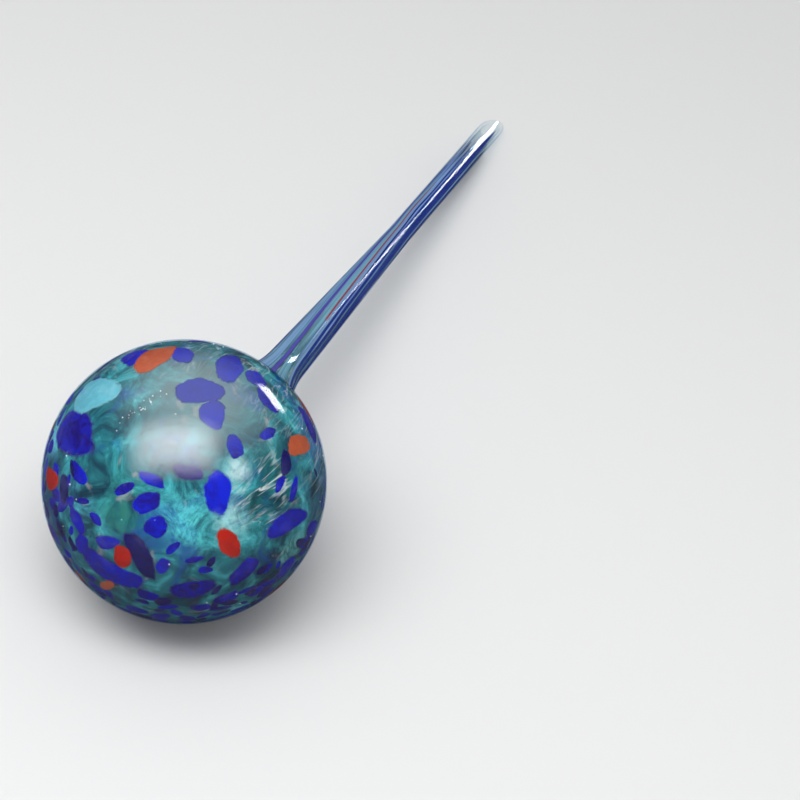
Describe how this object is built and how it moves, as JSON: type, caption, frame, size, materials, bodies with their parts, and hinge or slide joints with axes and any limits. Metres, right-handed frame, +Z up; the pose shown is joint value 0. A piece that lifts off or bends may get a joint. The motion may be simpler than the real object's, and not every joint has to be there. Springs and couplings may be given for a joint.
{
  "type": "watering globe",
  "caption": "Blown-glass watering globe: a round bulb coated in turquoise and cobalt frit, drawn out into a long hollow stem with a slanted mouth that is pushed into soil.",
  "frame": {"origin": "on the surface that the globe lies on, under the middle of its box", "axes": "+Z up, +X from the bulb towards the tip of the stem, which slopes down to the surface"},
  "size_m": [0.268, 0.075, 0.075],
  "materials": {
    "clear_glass": "fire polished",
    "turquoise_glass": "fire polished",
    "cobalt_glass": "fire polished",
    "navy_glass": "fire polished",
    "red_glass": "fire polished",
    "orange_glass": "fire polished",
    "sky_blue_glass": "fire polished",
    "violet_glass": "fire polished"
  },
  "bodies": {
    "root": {"turquoise_bulb": "turquoise_glass", "clear_stem": "clear_glass", "cobalt_chips": "cobalt_glass", "navy_chips": "navy_glass", "red_chips": "red_glass", "orange_chips": "orange_glass", "sky_blue_chips": "sky_blue_glass", "cobalt_streaks": "cobalt_glass", "sky_blue_streaks": "sky_blue_glass", "turquoise_streaks": "turquoise_glass", "violet_streaks": "violet_glass", "red_streaks": "red_glass"}
  },
  "joints": []
}
